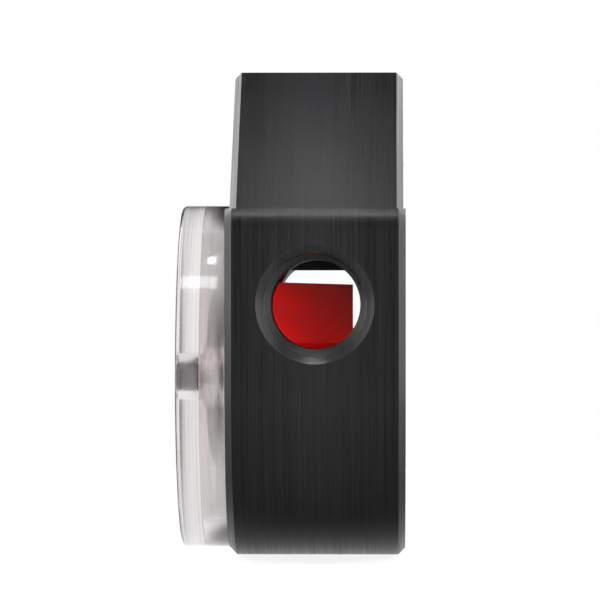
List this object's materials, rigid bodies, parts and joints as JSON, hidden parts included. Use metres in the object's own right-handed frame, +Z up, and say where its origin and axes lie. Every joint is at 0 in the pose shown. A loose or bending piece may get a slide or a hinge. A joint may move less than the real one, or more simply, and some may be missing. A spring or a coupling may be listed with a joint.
{
  "type": "paddle wheel flow indicator",
  "caption": "Inline liquid flow indicator: black machined housing with threaded side ports, clear round cover and a red paddle wheel turning on an axle screw behind it.",
  "frame": {"origin": "where the wheel's axis meets the rear mounting face", "axes": "+X along the ports, -Y out through the clear cover, +Z up through the top"},
  "size_m": [0.047, 0.0293, 0.0636],
  "materials": {
    "housing_black": "machined black acetal with fine upright tool lines",
    "cover_clear": "polished clear acrylic",
    "seal_rubber": "smooth nitrile rubber",
    "screw_steel": "turned stainless steel",
    "insert_brass": "turned brass",
    "wheel_red": "moulded red plastic",
    "bush_white": "turned white bearing plastic"
  },
  "bodies": {
    "casing": {"housing": "housing_black", "cover": "cover_clear", "cover_seal": "seal_rubber", "axle_screw": "screw_steel", "screw_seal": "seal_rubber", "axle_sleeve": "screw_steel", "axle_insert": "insert_brass", "thrust_washer_front": "bush_white", "thrust_washer_rear": "bush_white"},
    "wheel": {"paddle_wheel": "wheel_red", "wheel_bush_front": "bush_white", "wheel_bush_rear": "bush_white"}
  },
  "joints": [
    {"name": "wheel_spin", "type": "hinge", "parent": "casing", "child": "wheel", "pos_m": [0, 0, 0], "axis": [0, 1, 0], "continuous": true}
  ]
}
